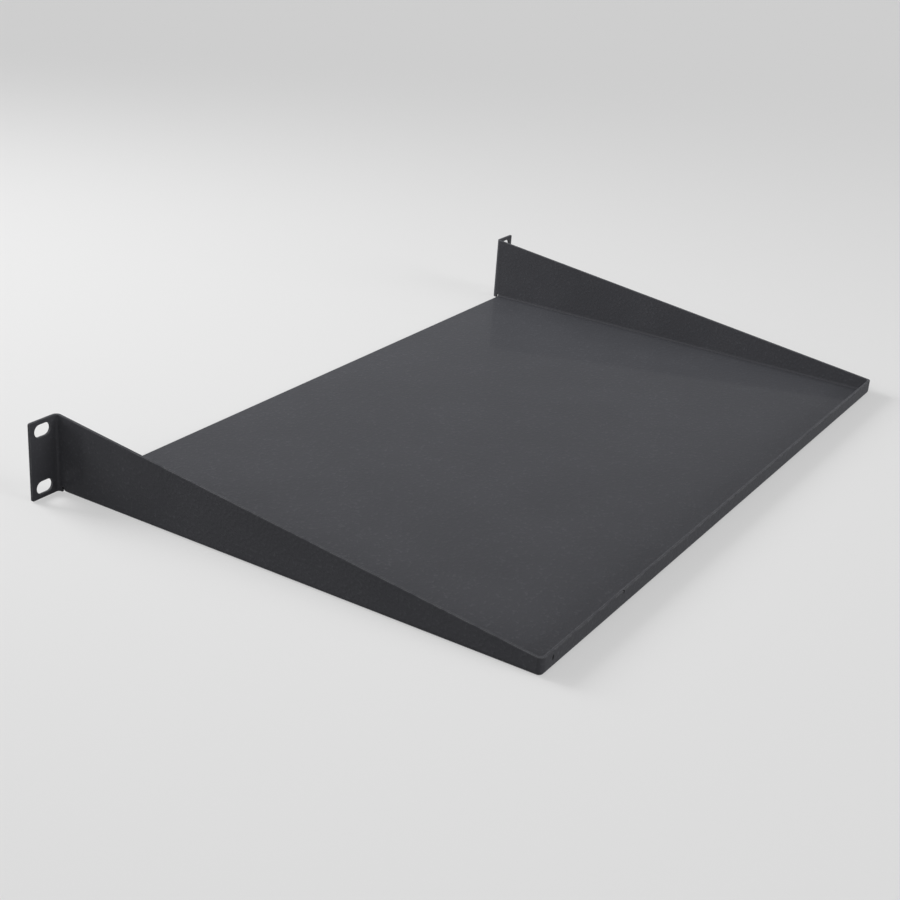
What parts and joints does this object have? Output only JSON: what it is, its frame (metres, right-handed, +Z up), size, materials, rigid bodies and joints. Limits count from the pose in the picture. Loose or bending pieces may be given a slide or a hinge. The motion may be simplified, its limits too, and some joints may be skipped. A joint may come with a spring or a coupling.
{
  "type": "rack shelf",
  "caption": "Shallow rack shelf folded from painted steel sheet: flat pan, tapered side flanges, low rear lip, and slotted ears that screw to the front of a rack.",
  "frame": {"origin": "middle of the slots, on the plane of the ears' rear faces, which seat on the front of the rack", "axes": "+X across the rack, +Y from the rack's face towards the rear of the shelf, +Z up"},
  "size_m": [0.4826, 0.292, 0.044],
  "materials": {
    "powder_coat": "dark grey powder coat, semi-gloss, with a fine pebbled texture"
  },
  "bodies": {
    "root": {"shelf_tray": "powder_coat"}
  },
  "joints": []
}
